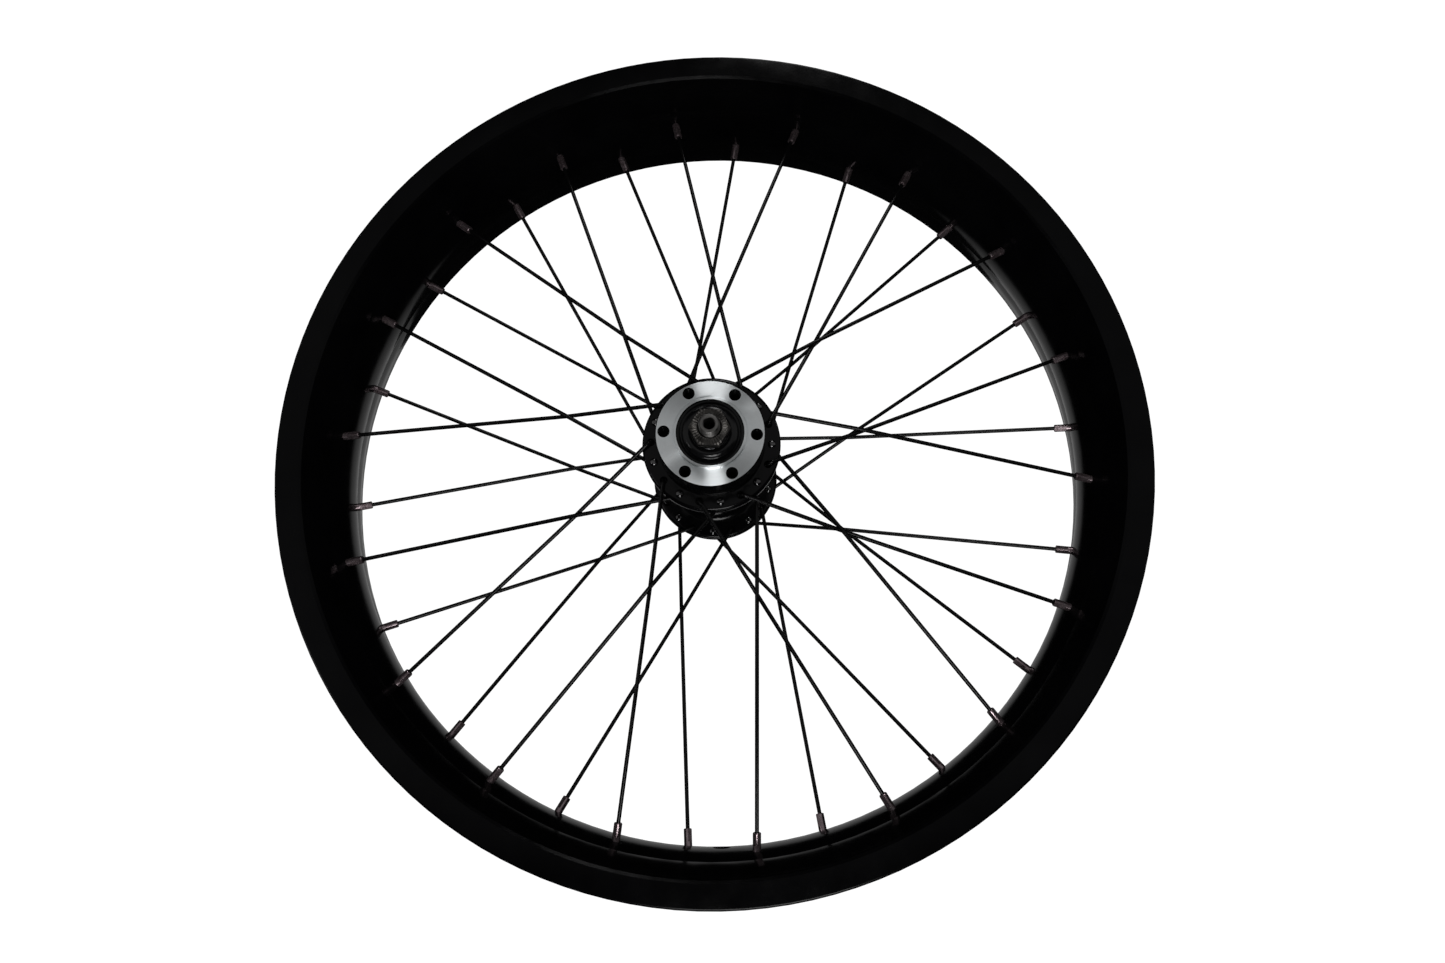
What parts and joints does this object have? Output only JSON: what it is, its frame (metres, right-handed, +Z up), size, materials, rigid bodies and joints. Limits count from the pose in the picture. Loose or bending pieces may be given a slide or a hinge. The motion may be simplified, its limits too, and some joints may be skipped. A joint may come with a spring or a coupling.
{
  "type": "bicycle wheel",
  "caption": "Wide fat-tyre bicycle front wheel with a laced spoked rim, a disc brake hub, loose ball bearings and a hollow axle, without tyre.",
  "frame": {"origin": "the wheel's centre: on the axle's axis, halfway between the rim's two sides", "axes": "+Y along the axle, from the disc brake side (-Y) to the plain side; +Z up, with the valve hole at the bottom; +X completes the right-handed frame"},
  "size_m": [0.426, 0.146, 0.426],
  "materials": {
    "rim_black": "gloss black coating over extruded aluminium",
    "strip_rubber": "matt black rim strip",
    "hub_black": "gloss black coating; the disc brake face is bare turned aluminium",
    "spoke_black": "black coated steel, semi-gloss",
    "nipple_black": "black coated brass, semi-gloss",
    "cap_black": "gloss black pressed steel",
    "seal_rubber": "smooth black rubber",
    "locknut_steel": "dark plated steel with radial serrations",
    "axle_steel": "dark plated steel",
    "bearing_steel": "ground steel",
    "ball_steel": "polished"
  },
  "bodies": {
    "axle_set": {"axle": "axle_steel", "cone_disc_side": "bearing_steel", "cone_seal_disc_side": "seal_rubber", "lock_washer_disc_side": "axle_steel", "spacer_disc_side": "axle_steel", "locknut_disc_side": "locknut_steel", "cone_plain_side": "bearing_steel", "cone_seal_plain_side": "seal_rubber", "lock_washer_plain_side": "axle_steel", "spacer_plain_side": "axle_steel", "locknut_plain_side": "locknut_steel"},
    "wheel": {"rim": "rim_black", "rim_strip": "strip_rubber", "hub_shell": "hub_black", "bearing_cup_disc_side": "bearing_steel", "dust_cap_disc_side": "cap_black", "nipples_disc_side": "nipple_black", "bearing_cup_plain_side": "bearing_steel", "dust_cap_plain_side": "cap_black", "nipples_plain_side": "nipple_black", "spokes_disc_side_outside": "spoke_black", "spokes_disc_side_inside": "spoke_black", "spokes_plain_side_outside": "spoke_black", "spokes_plain_side_inside": "spoke_black"},
    "ball_cage_disc_side": {"balls_disc_side": "ball_steel", "ball_retainer_disc_side": "bearing_steel"},
    "ball_cage_plain_side": {"balls_plain_side": "ball_steel", "ball_retainer_plain_side": "bearing_steel"}
  },
  "joints": [
    {"name": "wheel_spin", "type": "hinge", "parent": "axle_set", "child": "wheel", "pos_m": [0, 0, 0], "axis": [0, 1, 0], "continuous": true},
    {"name": "ball_cage_disc_side_spin", "type": "hinge", "parent": "axle_set", "child": "ball_cage_disc_side", "pos_m": [0, -0.05, 0], "axis": [0, 1, 0], "continuous": true},
    {"name": "ball_cage_plain_side_spin", "type": "hinge", "parent": "axle_set", "child": "ball_cage_plain_side", "pos_m": [0, 0.05, 0], "axis": [0, 1, 0], "continuous": true}
  ],
  "couplings": [
    {"joint": "ball_cage_disc_side_spin", "follows": "wheel_spin", "ratio": 0.6039},
    {"joint": "ball_cage_plain_side_spin", "follows": "wheel_spin", "ratio": 0.6039}
  ]
}
